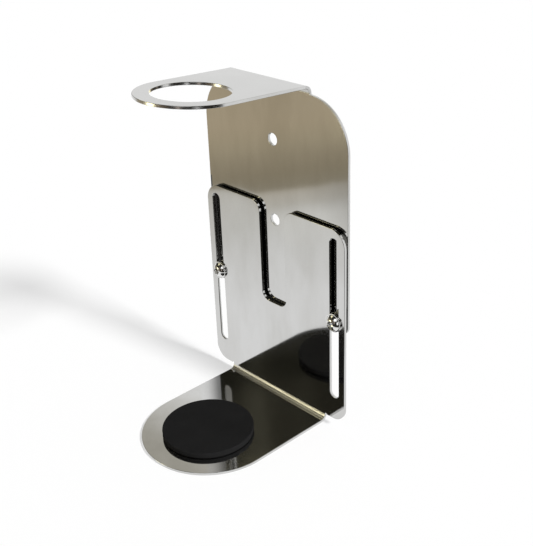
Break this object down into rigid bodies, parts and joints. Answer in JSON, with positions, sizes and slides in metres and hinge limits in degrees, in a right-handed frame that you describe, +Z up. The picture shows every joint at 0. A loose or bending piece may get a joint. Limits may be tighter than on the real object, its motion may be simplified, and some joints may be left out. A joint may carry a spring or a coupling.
{
  "type": "hair dryer holder",
  "caption": "Adjustable wall holder of two bent mirror-polished sheets: a ring arm above a round-ended shelf with a soft pad, joined by slots and round-headed clamp screws.",
  "frame": {"origin": "in the middle plane at the underside of the shelf, between the upright axes of the shelf's round end and of the ring", "axes": "+Z up, +Y towards the wall, front faces -Y, +X to the right as seen from the front"},
  "size_m": [0.122, 0.1076, 0.2226],
  "materials": {
    "polished_sheet": "mirror-polished sheet",
    "polished_hardware": "bright turned steel",
    "plain_steel": "plain stainless steel",
    "pad": "matt fine-grained",
    "film": "clear adhesive film"
  },
  "bodies": {
    "wall_side": {"wall_bracket": "polished_sheet", "left_clinch_nut": "plain_steel", "right_clinch_nut": "plain_steel", "left_spacer_washer": "plain_steel", "right_spacer_washer": "plain_steel"},
    "shelf_side": {"shelf_bracket": "polished_sheet", "rest_pad": "pad", "pad_adhesive": "film"},
    "left_washer": {"left_head_washer": "polished_hardware"},
    "right_washer": {"right_head_washer": "polished_hardware"},
    "left_screw": {"left_clamp_screw": "polished_hardware"},
    "right_screw": {"right_clamp_screw": "polished_hardware"}
  },
  "joints": [
    {"name": "shelf_height", "type": "slide", "parent": "wall_side", "child": "shelf_side", "axis": [0, 0, 1], "range_m": [-0.052, 0.051]},
    {"name": "left_screw_advance", "type": "slide", "parent": "wall_side", "child": "left_washer", "axis": [0, -1, 0], "range_m": [0, 0.001]},
    {"name": "right_screw_advance", "type": "slide", "parent": "wall_side", "child": "right_washer", "axis": [0, -1, 0], "range_m": [0, 0.001]},
    {"name": "left_screw_turn", "type": "hinge", "parent": "left_washer", "child": "left_screw", "pos_m": [-0.0525, 0.056, 0.076], "axis": [0, -1, 0], "range_deg": [0, 360]},
    {"name": "right_screw_turn", "type": "hinge", "parent": "right_washer", "child": "right_screw", "pos_m": [0.0525, 0.056, 0.076], "axis": [0, -1, 0], "range_deg": [0, 360]}
  ],
  "couplings": [
    {"joint": "left_screw_turn", "follows": "left_screw_advance", "rad_per_m": 6283},
    {"joint": "right_screw_turn", "follows": "right_screw_advance", "rad_per_m": 6283}
  ]
}
